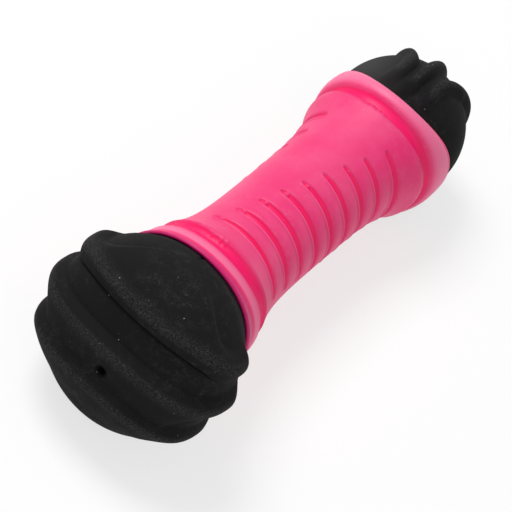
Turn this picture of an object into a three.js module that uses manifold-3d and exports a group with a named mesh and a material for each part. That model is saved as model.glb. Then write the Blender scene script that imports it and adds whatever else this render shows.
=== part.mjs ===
// Dog chew toy: a waisted pink rubber grip sleeve with a black rubber bulb plugged into each end.
// Millimetres. The long axis runs along X, the roll bulb at -X and the fin bulb at +X, and +Z is up.
import * as THREE from 'three';
import { mergeVertices } from 'three/addons/utils/BufferGeometryUtils.js';
import Module from 'manifold-3d';

// Fit between pieces
const FIT = 0.3;
const SEAT_GAP = 0.3;

// Grip sleeve
const WAIST_RADIUS = 16.4;
const BODY_END_RADIUS = 21.4;
const BODY_END = 42.3;
const FLARE_POWER = 4.2;
const BORE_RADIUS = 10.0;

// Collar at each end of the sleeve: a sunken ring, then a lip that climbs the bulb as a saddle
const RING_GROOVE_X = 43.4;
const ROLL_RING_SWAY = 1.6;
const FIN_RING_SWAY = -2.0;
const RING_GROOVE_WIDTH = 4.2;
const RING_GROOVE_DEPTH = 1.5;
const RIM_X = 54.4;
const ROLL_RIM_SWAY = 1.5;
const FIN_RIM_SWAY = -4.4;
const ROLL_LIP_RADIUS = 22.1;
const FIN_LIP_RADIUS = 23.2;
const LIP_EDGE = 1.0;
const CUP_FLOOR_X = 47.6;
// Shares of the lip's length with a ring of vertices, and how far the lip has risen or fallen there
const LIP_RISE = [[0, 0.2], [0.15, 0.8], [0.4, 1]];
const LIP_FALL = [[0.75, 0.3], [0.92, 0.75], [1, 1]];
const CUP_RINGS = [0, 0.25, 0.5, 0.75, 1];

// Grip grooves: two groups of arcs that turn a quarter turn from collar to collar
const GROOVE_COUNT = 9;
const GROOVE_PITCH = 8.2;
const GROOVE_WIDTH = 2.8;
const GROOVE_DEPTH = 1.3;
const GROOVE_FLOOR = 1.0;
const GROOVE_TIP = 0.7;
const GROOVE_HALF_ARC = THREE.MathUtils.degToRad(53.5);
const GROOVE_MIDDLE_ANGLE = THREE.MathUtils.degToRad(50.5);
const GROOVE_TURN = THREE.MathUtils.degToRad(7.6);

// Bulbs: a dome ahead of the widest place, a back that narrows to a neck in the collar, and a soft wall
const ROLL_BULB_X = 69.5;
const ROLL_BULB_RADIUS = 28.4;
const ROLL_BULB_NOSE = 19.0;
const ROLL_BULB_NECK = 16.8;
const ROLL_BULB_FULLNESS = 0.7;
const ROLL_BULB_LEAN = THREE.MathUtils.degToRad(16.7);
const LEAN_LENGTH = 9.0;
const FIN_BULB_X = 61.5;
const FIN_BULB_RADIUS = 21.7;
const FIN_BULB_NOSE = 22.3;
const FIN_BULB_NECK = 15.8;
const FIN_BULB_FULLNESS = 1.0;
const BULB_WALL = 7.0;
const VENT_RADIUS = 1.2;

// Rolls across the roll bulb, and fins over the nose of the fin bulb
const ROLL_PITCH = 14.5;
const ROLL_THICKNESS = 8.6;
const ROLL_HEIGHT = 2.6;
const ROLL_REACH = THREE.MathUtils.degToRad(106);
const ROLL_DRAW_IN = 0.25;
const FIN_PITCH = 13.3;
const FIN_THICKNESS = 5.2;
const FIN_HEIGHT = 2.4;
const FIN_REACH = THREE.MathUtils.degToRad(108);
const FIN_DRAW_IN = 0.5;
const RIB_RUN_OUT = THREE.MathUtils.degToRad(16);
const RIB_PLACES = [-1, 0, 1];

// Shanks that hold the bulbs in the sleeve
const SHANK_LENGTH = 27.0;
const SHANK_BORE_RADIUS = 6.2;
const BEAD_X = 30.0;
const BEAD_WIDTH = 4.0;
const BEAD_HEIGHT = 1.4;

// Squeaker in the roll bulb's shank
const SQUEAKER_LENGTH = 13.0;
const SQUEAKER_FLANGE_RADIUS = 8.4;
const SQUEAKER_FLANGE = 1.6;
const SQUEAKER_BORE_RADIUS = 2.4;
const REED_RADIUS = 4.0;
const REED_THICKNESS = 0.8;
const REED_SLOT = 1.2;
const CAP_THICKNESS = 2.2;
const CAP_HOLE_RADIUS = 1.6;

// Depth of the patch that the soft rubber presses flat where the toy lies
const REST_PATCH = 0.4;

// Facets
const SLEEVE_SIDES = 46;
const BULB_SIDES = 36;
const SMALL_SIDES = 24;
const DOME_STEPS = 8;
const BACK_STEPS = 4;
const RIB_STEPS = 14;
const RIB_SIDES = 10;

const wasm = await Module();
wasm.setup();

const pinkRubber = new THREE.MeshStandardMaterial({ color: 0xe6487f, roughness: 0.5, metalness: 0 });
const blackRubber = new THREE.MeshStandardMaterial({ color: 0x232325, roughness: 0.8, metalness: 0 });
const whitePlastic = new THREE.MeshStandardMaterial({ color: 0xe8e6df, roughness: 0.45, metalness: 0 });
const springFilm = new THREE.MeshStandardMaterial({ color: 0xb9c4cc, roughness: 0.35, metalness: 0 });

// Shared vertices merged and flat triangles dropped, so that the surface is closed
function closed(geometry) {
  geometry.deleteAttribute('normal');
  geometry.deleteAttribute('uv');
  const merged = mergeVertices(geometry, 1e-4);
  const index = merged.index.array;
  const kept = [];
  for (let i = 0; i < index.length; i += 3) {
    const [a, b, c] = index.slice(i, i + 3);
    if (a !== b && b !== c && c !== a) kept.push(a, b, c);
  }
  merged.setIndex(kept);
  merged.computeVertexNormals();
  return merged;
}

// Solid of revolution about X; profile points are (radius, x) and shape(vertex, row) may move a vertex
function revolve(profile, sides, shape) {
  const geometry = new THREE.LatheGeometry(profile, sides);
  geometry.rotateZ(-Math.PI / 2);
  const position = geometry.attributes.position;
  const vertex = new THREE.Vector3();
  for (let i = 0; shape && i < position.count; i += 1) {
    vertex.fromBufferAttribute(position, i);
    shape(vertex, i % profile.length);
    position.setXYZ(i, vertex.x, vertex.y, vertex.z);
  }
  return closed(geometry);
}

function solidOf(geometry) {
  return new wasm.Manifold(new wasm.Mesh({
    numProp: 3,
    vertProperties: new Float32Array(geometry.attributes.position.array),
    triVerts: new Uint32Array(geometry.index.array),
  }));
}

function geometryOf(solid) {
  const mesh = solid.getMesh();
  const geometry = new THREE.BufferGeometry();
  geometry.setAttribute('position', new THREE.BufferAttribute(mesh.vertProperties, 3));
  geometry.setIndex(new THREE.BufferAttribute(mesh.triVerts, 1));
  geometry.computeVertexNormals();
  return geometry;
}

function named(name, geometry, material) {
  const mesh = new THREE.Mesh(geometry, material);
  mesh.name = name;
  return mesh;
}

// Angle about X from +Z towards -Y, the side that the grip grooves turn to
function angleOf(vertex) {
  return Math.atan2(-vertex.y, vertex.z);
}

// Each end: its side along X, its bulb, its lip, and how far its collar sways along the axis.
// The ribs of the two bulbs stand a quarter turn apart, and so do the saddles of the two lips.
const rollEnd = {
  side: -1,
  place: ROLL_BULB_X,
  radius: ROLL_BULB_RADIUS,
  nose: ROLL_BULB_NOSE,
  neck: ROLL_BULB_NECK,
  fullness: ROLL_BULB_FULLNESS,
  lip: ROLL_LIP_RADIUS,
  ringSway: ROLL_RING_SWAY,
  rimSway: ROLL_RIM_SWAY,
};
const finEnd = {
  side: 1,
  place: FIN_BULB_X,
  radius: FIN_BULB_RADIUS,
  nose: FIN_BULB_NOSE,
  neck: FIN_BULB_NECK,
  fullness: FIN_BULB_FULLNESS,
  lip: FIN_LIP_RADIUS,
  ringSway: FIN_RING_SWAY,
  rimSway: FIN_RIM_SWAY,
};

// Radius of a bulb's back, from its widest place down to the neck on the floor of the cup
const bulbBase = CUP_FLOOR_X + SEAT_GAP;
function backRadius(end, distance) {
  const share = Math.min((end.place - distance) / (end.place - bulbBase), 1);
  return THREE.MathUtils.lerp(end.radius, end.neck, share * share);
}

function bodyRadius(distance) {
  const flare = Math.min(distance / BODY_END, 1) ** FLARE_POWER;
  return THREE.MathUtils.lerp(WAIST_RADIUS, BODY_END_RADIUS, flare);
}

// How much of a grip groove's width and depth is left at an angle
function grooveShare(groove, angle) {
  const middle = GROOVE_MIDDLE_ANGLE + groove * GROOVE_TURN;
  let away = (angle - middle) % Math.PI;
  if (away > Math.PI / 2) away -= Math.PI;
  if (away < -Math.PI / 2) away += Math.PI;
  const share = 1 - (away / GROOVE_HALF_ARC) ** 2;
  return Math.sqrt(Math.max(share, 0));
}

// Rows of the sleeve's skin, from the roll end's rim over the body to the fin end's rim and back inside.
// A row is a function of the angle that gives its place along X and its radius.
function collarRows(end) {
  const row = (place, radius) => (angle) => {
    const sway = Math.cos(2 * angle);
    const distance = place(sway);
    return [end.side * distance, radius(distance, sway)];
  };
  const grooveX = (sway) => RING_GROOVE_X + end.ringSway * sway;
  const rimX = (sway) => RIM_X + end.rimSway * sway;
  const lipX = (share) => (sway) => {
    const start = grooveX(sway) + RING_GROOVE_WIDTH / 2;
    return THREE.MathUtils.lerp(start, rimX(sway), share);
  };
  const cup = (distance) => backRadius(end, distance) + FIT;
  const cupX = (share) => (sway) => THREE.MathUtils.lerp(rimX(sway), CUP_FLOOR_X, share);
  const rise = (share) => (distance) => THREE.MathUtils.lerp(bodyRadius(distance), end.lip, share);
  const fall = (share) => (distance, sway) => {
    const edge = cup(rimX(sway)) + LIP_EDGE;
    return THREE.MathUtils.lerp(end.lip, edge, share);
  };
  const sunk = (distance) => bodyRadius(distance) - RING_GROOVE_DEPTH;
  const outer = [
    row((sway) => grooveX(sway) - RING_GROOVE_WIDTH / 2, bodyRadius),
    row((sway) => grooveX(sway) - RING_GROOVE_WIDTH / 4, sunk),
    row((sway) => grooveX(sway) + RING_GROOVE_WIDTH / 4, sunk),
    ...LIP_RISE.map(([share, risen]) => row(lipX(share), rise(risen))),
    ...LIP_FALL.map(([share, fallen]) => row(lipX(share), fall(fallen))),
  ];
  const inner = [
    ...CUP_RINGS.map((share) => row(cupX(share), cup)),
    row(() => CUP_FLOOR_X, () => BORE_RADIUS),
    row(() => BEAD_X + BEAD_WIDTH / 2 + FIT, () => BORE_RADIUS),
    row(() => BEAD_X + BEAD_WIDTH / 4 + FIT, () => BORE_RADIUS + BEAD_HEIGHT),
    row(() => BEAD_X - BEAD_WIDTH / 4 - FIT, () => BORE_RADIUS + BEAD_HEIGHT),
    row(() => BEAD_X - BEAD_WIDTH / 2 - FIT, () => BORE_RADIUS),
  ];
  return { outer, inner };
}

// Four rows for each grip groove, two at its edges and two on its floor, and one row on the rib between
function gripRows() {
  const rows = [];
  const ribRow = (x) => () => [x, bodyRadius(Math.abs(x))];
  const grooveRow = (groove, side, width, depth) => (angle) => {
    const share = grooveShare(groove, angle);
    const x = groove * GROOVE_PITCH + side * THREE.MathUtils.lerp(GROOVE_TIP, width, share) / 2;
    return [x, bodyRadius(Math.abs(x)) - depth * share];
  };
  for (let k = 0; k < GROOVE_COUNT; k += 1) {
    const groove = k - (GROOVE_COUNT - 1) / 2;
    if (k > 0) rows.push(ribRow((groove - 0.5) * GROOVE_PITCH));
    rows.push(
      grooveRow(groove, -1, GROOVE_WIDTH, 0),
      grooveRow(groove, -0.5, GROOVE_FLOOR * 2, GROOVE_DEPTH),
      grooveRow(groove, 0.5, GROOVE_FLOOR * 2, GROOVE_DEPTH),
      grooveRow(groove, 1, GROOVE_WIDTH, 0),
    );
  }
  return rows;
}

function makeGripSleeve() {
  const roll = collarRows(rollEnd);
  const fin = collarRows(finEnd);
  const rows = [
    ...roll.outer.reverse(), ...gripRows(), ...fin.outer,
    ...fin.inner, ...roll.inner.reverse(),
  ];
  const profile = rows.map((row) => {
    const [x, radius] = row(0);
    return new THREE.Vector2(radius, x);
  });
  profile.push(profile[0].clone());
  rows.push(rows[0]);
  const geometry = revolve(profile, SLEEVE_SIDES, (vertex, row) => {
    const angle = angleOf(vertex);
    const [x, radius] = rows[row](angle);
    vertex.set(x, -radius * Math.sin(angle), radius * Math.cos(angle));
  });
  return named('grip_sleeve', geometry, pinkRubber);
}

// Sine or cosine of an ellipse that is squarer where the fullness is below 1
function fuller(wave, fullness) {
  return Math.sign(wave) * Math.abs(wave) ** fullness;
}

// Quarter of an ellipse in steps, from the axis out to the full radius
function domePoints(end, inset, steps) {
  const points = [];
  for (let i = 0; i <= steps; i += 1) {
    const turn = (i / steps) * Math.PI / 2;
    const across = (end.radius - inset) * fuller(Math.sin(turn), end.fullness);
    const ahead = (end.nose - inset) * fuller(Math.cos(turn), end.fullness);
    points.push([across, end.place + ahead]);
  }
  points[0][0] = 0;
  return points;
}

function revolveEnd(end, points, sides) {
  const profile = points.map(([radius, distance]) => new THREE.Vector2(radius, end.side * distance));
  if (end.side > 0) profile.reverse();
  return solidOf(revolve(profile, sides));
}

// Dome, back and shank of a bulb in one piece, with the bead that snaps into the sleeve
const shankEnd = bulbBase - SHANK_LENGTH;
function bulbCore(end) {
  const points = domePoints(end, 0, DOME_STEPS);
  for (let i = 1; i <= BACK_STEPS; i += 1) {
    const distance = THREE.MathUtils.lerp(end.place, bulbBase, i / BACK_STEPS);
    points.push([backRadius(end, distance), distance]);
  }
  const shank = BORE_RADIUS - FIT;
  points.push(
    [shank, bulbBase],
    [shank, BEAD_X + BEAD_WIDTH / 2],
    [shank + BEAD_HEIGHT, BEAD_X + BEAD_WIDTH / 4],
    [shank + BEAD_HEIGHT, BEAD_X - BEAD_WIDTH / 4],
    [shank, BEAD_X - BEAD_WIDTH / 2],
    [shank, shankEnd],
    [0, shankEnd],
  );
  return revolveEnd(end, points, BULB_SIDES);
}

// Air space of a bulb, open through the shank
function bulbHollow(end) {
  const points = domePoints(end, BULB_WALL, DOME_STEPS / 2);
  points.push(
    [end.neck - BULB_WALL, bulbBase + BULB_WALL],
    [SHANK_BORE_RADIUS, bulbBase + BULB_WALL / 2],
    [SHANK_BORE_RADIUS, shankEnd - SEAT_GAP],
    [0, shankEnd - SEAT_GAP],
  );
  return revolveEnd(end, points, SMALL_SIDES);
}

// Line that a rib follows over a bulb: a section of the dome across the axis, drawn in towards its ends.
// It lies under the dome so that a bar along it stands proud by the rib's height, and dips at its ends.
class RibPath extends THREE.Curve {
  constructor(end, rib, offset) {
    super();
    Object.assign(this, { end, rib, offset });
  }

  getPoint(share, point = new THREE.Vector3()) {
    const { end, rib } = this;
    const turn = THREE.MathUtils.lerp(-rib.reach, rib.reach, share);
    const runOut = THREE.MathUtils.smoothstep(Math.abs(turn), rib.reach - RIB_RUN_OUT, rib.reach);
    const sink = rib.thickness / 2 - rib.height * (1 - runOut);
    const offset = this.offset * (1 - rib.drawIn * Math.sin(turn) ** 2);
    const lift = Math.asin(offset / end.radius);
    const rise = Math.asin(Math.abs(offset / end.radius) ** (1 / end.fullness));
    const girth = end.radius * Math.cos(lift) - sink;
    const reach = end.nose * fuller(Math.cos(rise), end.fullness) - sink;
    const across = girth * fuller(Math.sin(turn), end.fullness);
    const ahead = reach * fuller(Math.cos(turn), end.fullness);
    return point.set(end.side * (end.place + ahead), across, offset);
  }
}

// Rounded bar along a rib's line, with round ends
function ribSolid(end, rib, offset) {
  const path = new RibPath(end, rib, offset);
  const radius = rib.thickness / 2;
  const section = new THREE.Shape().absarc(0, 0, radius, 0, 2 * Math.PI);
  const bar = new THREE.ExtrudeGeometry(section, {
    curveSegments: RIB_SIDES / 2, steps: RIB_STEPS, extrudePath: path, bevelEnabled: false,
  });
  let solid = solidOf(closed(bar));
  for (const share of [0, 1]) {
    const ball = new THREE.SphereGeometry(radius, RIB_SIDES, RIB_SIDES / 2);
    ball.translate(...path.getPoint(share).toArray());
    solid = solid.add(solidOf(closed(ball)));
  }
  return solid;
}

// Turns what lies ahead of the collar about Y, so that the nose looks a little upwards
function leanNose(geometry, lean) {
  const position = geometry.attributes.position;
  const start = ROLL_BULB_X - LEAN_LENGTH;
  const pivot = new THREE.Vector3(-ROLL_BULB_X, 0, 0);
  const axis = new THREE.Vector3(0, 1, 0);
  const vertex = new THREE.Vector3();
  for (let i = 0; i < position.count; i += 1) {
    vertex.fromBufferAttribute(position, i);
    const turn = lean * THREE.MathUtils.smoothstep(-vertex.x, start, ROLL_BULB_X);
    vertex.sub(pivot).applyAxisAngle(axis, turn).add(pivot);
    position.setXYZ(i, vertex.x, vertex.y, vertex.z);
  }
  return geometry;
}

function makeRollBulb() {
  const rib = { thickness: ROLL_THICKNESS, height: ROLL_HEIGHT, reach: ROLL_REACH, drawIn: ROLL_DRAW_IN };
  let solid = bulbCore(rollEnd);
  for (const place of RIB_PLACES) {
    solid = solid.add(ribSolid(rollEnd, rib, place * ROLL_PITCH));
  }
  const leaned = leanNose(geometryOf(solid), ROLL_BULB_LEAN);
  const ventLength = 2 * ROLL_BULB_NOSE;
  const vent = new THREE.CylinderGeometry(VENT_RADIUS, VENT_RADIUS, ventLength, SMALL_SIDES / 2);
  vent.rotateZ(Math.PI / 2);
  vent.translate(-ROLL_BULB_X - ventLength / 2, 0, 0);
  const opened = solidOf(leaned).subtract(bulbHollow(rollEnd)).subtract(solidOf(closed(vent)));
  return named('roll_bulb', geometryOf(opened), blackRubber);
}

function makeFinBulb() {
  const rib = { thickness: FIN_THICKNESS, height: FIN_HEIGHT, reach: FIN_REACH, drawIn: FIN_DRAW_IN };
  let solid = bulbCore(finEnd);
  for (const place of RIB_PLACES) {
    const fin = geometryOf(ribSolid(finEnd, rib, place * FIN_PITCH));
    // A quarter turn lays the fins across the rolls of the other bulb
    fin.rotateX(Math.PI / 2);
    solid = solid.add(solidOf(fin));
  }
  return named('fin_bulb', geometryOf(solid.subtract(bulbHollow(finEnd))), blackRubber);
}

// Squeaker: a flanged plug in the shank, with a reed disc held in its end by a ring cap
const squeakerEnd = -(shankEnd - SEAT_GAP);
const squeakerFace = squeakerEnd + SQUEAKER_FLANGE;
const reedSeat = squeakerFace - CAP_THICKNESS - REED_THICKNESS - 2 * SEAT_GAP;

function makeSqueakerBody() {
  const profile = [
    [SQUEAKER_BORE_RADIUS, squeakerEnd - SQUEAKER_LENGTH],
    [SQUEAKER_BORE_RADIUS, reedSeat],
    [REED_RADIUS + FIT, reedSeat],
    [REED_RADIUS + FIT, squeakerFace],
    [SQUEAKER_FLANGE_RADIUS, squeakerFace],
    [SQUEAKER_FLANGE_RADIUS, squeakerEnd],
    [SHANK_BORE_RADIUS - FIT, squeakerEnd],
    [SHANK_BORE_RADIUS - FIT, squeakerEnd - SQUEAKER_LENGTH],
    [SQUEAKER_BORE_RADIUS, squeakerEnd - SQUEAKER_LENGTH],
  ].map(([radius, x]) => new THREE.Vector2(radius, x));
  return named('squeaker_body', revolve(profile.reverse(), SMALL_SIDES), whitePlastic);
}

function makeSqueakerReed() {
  const disc = new THREE.CylinderGeometry(REED_RADIUS, REED_RADIUS, REED_THICKNESS, SMALL_SIDES);
  const slot = new THREE.BoxGeometry(REED_SLOT, REED_THICKNESS * 2, REED_RADIUS);
  slot.translate(0, 0, REED_RADIUS / 2);
  const cut = solidOf(closed(disc)).subtract(solidOf(closed(slot)));
  const geometry = geometryOf(cut);
  geometry.rotateZ(-Math.PI / 2);
  geometry.translate(reedSeat + SEAT_GAP + REED_THICKNESS / 2, 0, 0);
  return named('squeaker_reed', geometry, springFilm);
}

function makeSqueakerCap() {
  const start = reedSeat + 2 * SEAT_GAP + REED_THICKNESS;
  const profile = [
    [CAP_HOLE_RADIUS, start],
    [CAP_HOLE_RADIUS, start + CAP_THICKNESS],
    [REED_RADIUS, start + CAP_THICKNESS],
    [REED_RADIUS, start],
    [CAP_HOLE_RADIUS, start],
  ].map(([radius, x]) => new THREE.Vector2(radius, x));
  return named('squeaker_cap', revolve(profile.reverse(), SMALL_SIDES), whitePlastic);
}

const rollBulb = makeRollBulb();
const finBulb = makeFinBulb();

function lowestPoint(mesh) {
  const position = mesh.geometry.attributes.position;
  const vertex = new THREE.Vector3();
  const lowest = new THREE.Vector3();
  for (let i = 0; i < position.count; i += 1) {
    vertex.fromBufferAttribute(position, i);
    if (vertex.z < lowest.z) lowest.copy(vertex);
  }
  return lowest;
}

// The toy lies on its two bulbs, so its axis leans towards the smaller one
const rollRest = lowestPoint(rollBulb);
const finRest = lowestPoint(finBulb);
const restLean = Math.atan2(finRest.z - rollRest.z, finRest.x - rollRest.x);
const axisHeight = finRest.x * Math.sin(restLean) - finRest.z * Math.cos(restLean) - REST_PATCH;

// Cuts a bulb flat where it presses on the floor
function pressFlat(mesh) {
  const size = 4 * ROLL_BULB_X;
  const floor = new THREE.BoxGeometry(size, size, size);
  floor.translate(0, 0, -size / 2 - axisHeight);
  floor.rotateY(-restLean);
  mesh.geometry = geometryOf(solidOf(mesh.geometry).subtract(solidOf(closed(floor))));
  return mesh;
}

const chewToy = new THREE.Group();
chewToy.name = 'chew_toy';
chewToy.add(
  makeGripSleeve(),
  pressFlat(rollBulb),
  pressFlat(finBulb),
  makeSqueakerBody(),
  makeSqueakerReed(),
  makeSqueakerCap(),
);
chewToy.rotation.y = restLean;
chewToy.position.z = axisHeight;
chewToy.updateMatrixWorld(true);

// Origin on the floor under the middle of the toy
const bounds = new THREE.Box3().setFromObject(chewToy, true);
const middle = bounds.getCenter(new THREE.Vector3());
chewToy.position.x -= middle.x;
chewToy.position.y -= middle.y;

export default chewToy;
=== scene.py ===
"""Dog chew toy: a waisted pink rubber grip sleeve with a ribbed black rubber bulb in each end."""
import math

import bmesh
import bpy
from bpy.props import FloatProperty, FloatVectorProperty, IntProperty, PointerProperty
from mathutils import Matrix, Vector


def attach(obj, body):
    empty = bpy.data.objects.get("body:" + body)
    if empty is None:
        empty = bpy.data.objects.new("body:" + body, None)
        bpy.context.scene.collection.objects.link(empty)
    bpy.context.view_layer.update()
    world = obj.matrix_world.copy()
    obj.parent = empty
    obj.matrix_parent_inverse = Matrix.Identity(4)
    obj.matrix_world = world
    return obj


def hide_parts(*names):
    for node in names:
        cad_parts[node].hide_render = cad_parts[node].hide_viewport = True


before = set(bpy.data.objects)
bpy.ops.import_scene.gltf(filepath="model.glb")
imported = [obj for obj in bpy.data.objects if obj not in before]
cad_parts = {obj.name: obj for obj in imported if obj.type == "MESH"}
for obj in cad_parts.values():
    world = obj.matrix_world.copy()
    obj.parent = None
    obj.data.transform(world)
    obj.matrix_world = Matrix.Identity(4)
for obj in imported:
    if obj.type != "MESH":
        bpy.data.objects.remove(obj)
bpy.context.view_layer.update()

bl_info = {
    "name": "Dog Chew Toy",
    "version": (1, 0, 0),
    "blender": (4, 5, 0),
    "location": "3D View > Sidebar > Chew Toy",
    "description": "Dresses the chew toy: grip sleeve, roll bulb, fin bulb, squeaker and stage",
    "category": "Object",
}

# Air between the bulbs and the sleeve, as in the solids
FIT = 0.0003
# Rings of a piece before they are shaped, a step apart along X
RING_STEP = 0.001
MERGE = 1e-6
# Vertices in each ring of a piece
SLEEVE_SIDES, BULB_SIDES = 288, 320
# Relief on the inside of a piece, painted in shade, and on the inner face of a lip, painted in deeper shade
INSIDE, SHADED = -1.0, -1.9
# Powers that give a moulded channel its flat floor and its rounded walls
CHANNEL_FLOOR, CHANNEL_WALL = 2.4, 0.7
# Rings over a grip groove, in half widths from its middle line; the bead stands just outside one edge
GROOVE_ACROSS = (-1.42, -1.15, -0.96, -0.85, -0.65, -0.35, 0, 0.35, 0.65, 0.85, 0.97, 1.1)
BEAD_ACROSS, BEAD_SPREAD = GROOVE_ACROSS[1], 0.19
# Power that keeps a grip groove open almost to its tips
TIP_POWER = 0.3
# Flash on the edge of a sunken ring: degrees from the flash's middle, and share of the flash's width
FLASH = ((-9, 0.4), (-5, 1.0), (-2, 0.5), (2.5, 0.8), (7, 0.6))
FLASH_SPAN = 1.3
# How far a lip turns in at its rim
LIP_TURN_IN = 0.0006
# Angle over which a roll or fin runs out at its end
RUN_OUT = math.radians(16)
# Power that draws the rolls and fins from their places over the nose to those at their ends
DRAW_POWER = 4
# Angles from the nose between which a roll turns from a step into a round bar
STEP_END, BAR_START = math.radians(45), math.radians(85)
# How many times its depth a crease counts as relief, so that the crease is painted in shade
CREASE_RELIEF = 7
# Rings of the vent's rounded edge: depth and radius, in vent radii
VENT_EDGE = ((0.25, 1.02), (0.08, 1.14))
# Where the vent's edge takes its level from the dome, and where the dome begins, in vent radii
VENT_LEVEL, VENT_CLEAR = 1.12, 1.4
# Where a painted sheen lightens the fin bulb beside its lip, and how far the sheen reaches
SHEEN_PLACE, SHEEN_REACH = (0.062, 0.0175, 0.038), 0.019
WHITE = (1, 1, 1, 1)


def length(name, default, description):
    """A length that a user may change, in metres."""
    return FloatProperty(name=name, description=description, default=default, unit="LENGTH", precision=5)


def angle(name, degrees, description):
    """An angle that a user may change."""
    return FloatProperty(name=name, description=description, default=math.radians(degrees), unit="ROTATION")


def share_of(name, default, description):
    """A plain number that a user may change."""
    return FloatProperty(name=name, description=description, default=default)


def power(name, default, description):
    """A lamp's power that a user may change."""
    return FloatProperty(name=name, description=description, default=default, unit="POWER")


def one_each(name, default, description):
    """A plain number that a user may change for each of three rolls or fins, from the lowest up."""
    return FloatVectorProperty(name=name, description=description, default=default, size=3)


def spot(name, default, description):
    """A place that a user may change, in metres."""
    return FloatVectorProperty(
        name=name, description=description, default=default, subtype="TRANSLATION", unit="LENGTH",
        precision=5,
    )


def colour(name, default, description):
    """A colour that a user may change."""
    return FloatVectorProperty(
        name=name, description=description, default=default, subtype="COLOR", size=3, min=0, max=1,
    )


class ToyPlacing(bpy.types.PropertyGroup):
    """Where the toy's axis lies above the floor, and what holds the bulbs in the sleeve."""

    axis_height: length("Axis height", 0.02542895, "Height of the middle of the axis above the floor")
    axis_shift: length("Axis shift", 0.00385636, "Place of the middle of the axis along X")
    rest_lean: angle("Rest lean", 1.9151717, "Turn of the axis about Y, as the toy lies on its two bulbs")
    cup_floor: length("Cup floor", 0.0476, "Distance from the middle to the floor of a collar's cup")
    bore_radius: length("Bore radius", 0.010, "Radius of the bore that holds the shanks")
    shank_length: length("Shank length", 0.027, "Length of a shank")
    shank_bore: length("Shank bore", 0.0062, "Radius of the hollow in a shank")
    bead_x: length("Bead place", 0.030, "Distance from the middle to the bead of a shank")
    bead_width: length("Bead width", 0.004, "Width of a bead along the axis")
    bead_height: length("Bead height", 0.0014, "Height of a bead over its shank")


class SleeveSizes(bpy.types.PropertyGroup):
    """Sizes of the grip sleeve."""

    waist_radius: length("Waist radius", 0.0164, "Radius at the middle of the sleeve")
    end_radius: length("End radius", 0.0214, "Radius where the body meets a collar")
    body_end: length("Body end", 0.0423, "Distance from the middle to a collar")
    flare_power: share_of("Flare power", 4.2, "How late the body flares towards its ends")
    ring_x: length("Ring place", 0.0437, "Distance from the middle to a sunken ring")
    ring_depth: length("Ring depth", 0.0015, "Depth of a sunken ring")
    rim_x: length("Rim place", 0.0544, "Distance from the middle to the rim of a lip")
    groove_count: IntProperty(name="Grooves", description="Grip grooves in one group", default=9, min=1)
    groove_pitch: length("Groove pitch", 0.0082, "Distance between grip grooves")
    groove_width: length("Groove width", 0.0028, "Width of a grip groove at its middle")
    groove_depth: length("Groove depth", 0.0013, "Depth of a grip groove at its middle")
    groove_tip: length("Groove tip", 0.0007, "Width of a grip groove at its ends")
    groove_half_arc: angle("Groove half arc", 53.5, "Half of the arc that a grip groove spans")
    groove_middle: angle("Groove middle", 50.5, "Angle of the middle groove's middle")
    groove_turn: angle("Groove turn", 7.6, "Angle that each groove is turned on from the one before")
    groove_bead: length("Groove bead", 0.00032, "Height of the thin bead along one edge of a grip groove")
    rib_crown: length("Rib crown", 0.00025, "How far the ribs between grip grooves swell at their middle")
    flash_angle: angle("Flash angle", -7, "Where round the sunken rings the mould left flash")
    flash_width: length("Flash width", 0.0007, "How far the flash stands into a sunken ring")


class RollCollarSizes(bpy.types.PropertyGroup):
    """Sizes of the sleeve's collar at the roll end."""

    ring_width: length("Ring width", 0.0048, "Width of the sunken ring")
    ring_sway: length("Ring sway", 0.0016, "How far the sunken ring sways along the axis")
    rim_sway: length("Rim sway", 0.0015, "How far the rim sways along the axis")
    lip: length("Lip radius", 0.0221, "Radius of the lip at its crest")
    edge: length("Lip edge", 0.0020, "Thickness of the lip at its rim")
    # Where the painted shade on the lip's inner face begins
    shade: share_of("Lip shade", 0.36, "Where the lip turns to its dark inner face")


class FinCollarSizes(bpy.types.PropertyGroup):
    """Sizes of the sleeve's collar at the fin end."""

    ring_width: length("Ring width", 0.0038, "Width of the sunken ring")
    ring_sway: length("Ring sway", -0.002, "How far the sunken ring sways along the axis")
    rim_sway: length("Rim sway", -0.0044, "How far the rim sways along the axis")
    lip: length("Lip radius", 0.0232, "Radius of the lip at its crest")
    edge: length("Lip edge", 0.001, "Thickness of the lip at its rim")
    # Where the painted shade on the lip's inner face begins
    shade: share_of("Lip shade", 0.72, "Where the lip turns to its dark inner face")


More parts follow.
